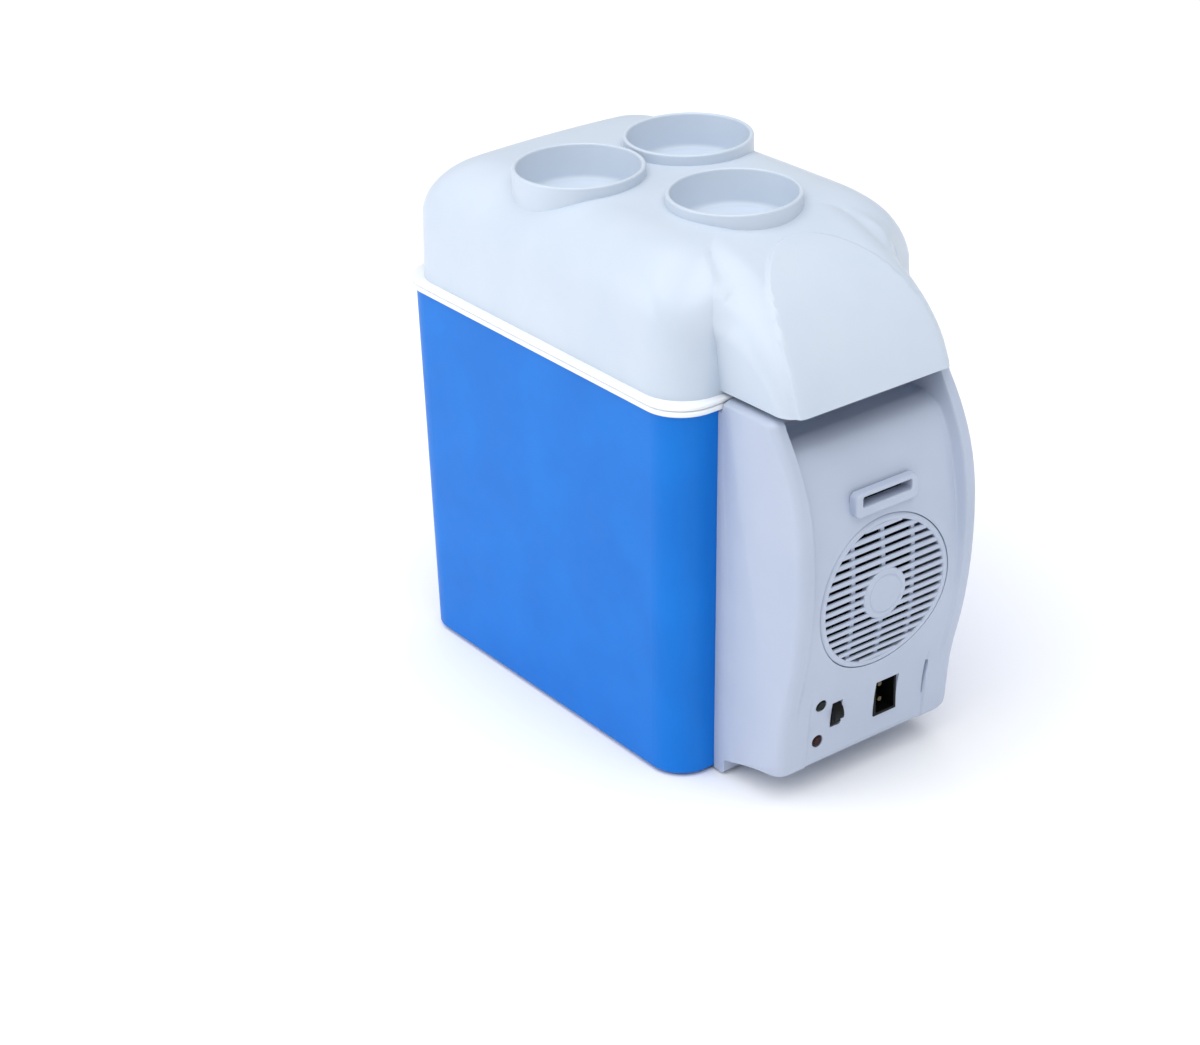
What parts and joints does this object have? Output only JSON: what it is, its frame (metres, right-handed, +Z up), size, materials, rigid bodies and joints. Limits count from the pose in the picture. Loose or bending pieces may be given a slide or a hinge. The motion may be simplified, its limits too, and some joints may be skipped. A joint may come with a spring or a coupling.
{
  "type": "portable mini fridge",
  "caption": "Portable thermoelectric mini fridge: tall foam-filled tub, hinged lid with three drinks wells, and a bowed cooling unit with round fan grille on the front.",
  "frame": {"origin": "centre of the base rectangle of the whole object, on the surface it stands on", "axes": "+Z up, front with the fan grille towards -Y, +X to the right seen from the front"},
  "size_m": [0.185, 0.33, 0.3096],
  "materials": {
    "blue_polypropylene": "satin",
    "white_abs": "gloss",
    "insulation_foam": "matte",
    "foot_rubber": "matte",
    "grey_abs": "satin",
    "zinc_steel": "satin",
    "green_lens": "gloss",
    "red_lens": "gloss",
    "black_nylon": "satin",
    "contact_brass": "satin",
    "circuit_board": "satin",
    "alumina": "matte",
    "gasket_foam": "matte",
    "extruded_aluminium": "satin",
    "wire_sheath": "satin",
    "pale_abs": "satin",
    "seal_rubber": "matte"
  },
  "bodies": {
    "root": {"outer_case": "blue_polypropylene", "inner_liner": "white_abs", "case_foam": "insulation_foam", "case_feet": "foot_rubber", "front_housing": "grey_abs", "housing_screws": "zinc_steel", "fan_grille": "grey_abs", "strap_guide": "grey_abs", "strap_anchor": "blue_polypropylene", "indicator_green": "green_lens", "indicator_red": "red_lens", "switch_body": "black_nylon", "inlet_socket": "black_nylon", "inlet_pins": "contact_brass", "control_board": "circuit_board", "thermoelectric_module": "alumina", "module_gasket": "gasket_foam", "hot_heatsink": "extruded_aluminium", "cold_heatsink": "extruded_aluminium", "transfer_block": "extruded_aluminium", "heatsink_screws": "zinc_steel", "fan_motor": "zinc_steel", "motor_bracket": "black_nylon", "cold_air_guard": "white_abs", "supply_wires": "wire_sheath", "case_hinge_knuckles": "blue_polypropylene", "hinge_pins": "zinc_steel", "case_hinge_screws": "zinc_steel"},
    "lid": {"lid_shell": "pale_abs", "lid_liner": "white_abs", "lid_foam": "insulation_foam", "lid_seal": "seal_rubber", "lid_hinge_knuckles": "pale_abs", "lid_hinge_screws": "zinc_steel"},
    "fan_rotor": {"rotor_shaft": "zinc_steel", "outer_impeller": "black_nylon", "inner_impeller": "black_nylon"},
    "mode_rocker": {"mode_rocker": "black_nylon"}
  },
  "joints": [
    {"name": "lid_hinge", "type": "hinge", "parent": "root", "child": "lid", "pos_m": [0, 0.16155, 0.22635], "axis": [-1, 0, 0], "range_deg": [0, 100]},
    {"name": "fan_spin", "type": "hinge", "parent": "root", "child": "fan_rotor", "pos_m": [0, -0.10924, 0.1185], "axis": [0, -1, 0], "continuous": true},
    {"name": "rocker_tilt", "type": "hinge", "parent": "root", "child": "mode_rocker", "pos_m": [-0.022, -0.1425, 0.0468], "axis": [1, 0, 0], "range_deg": [-11, 11]}
  ]
}
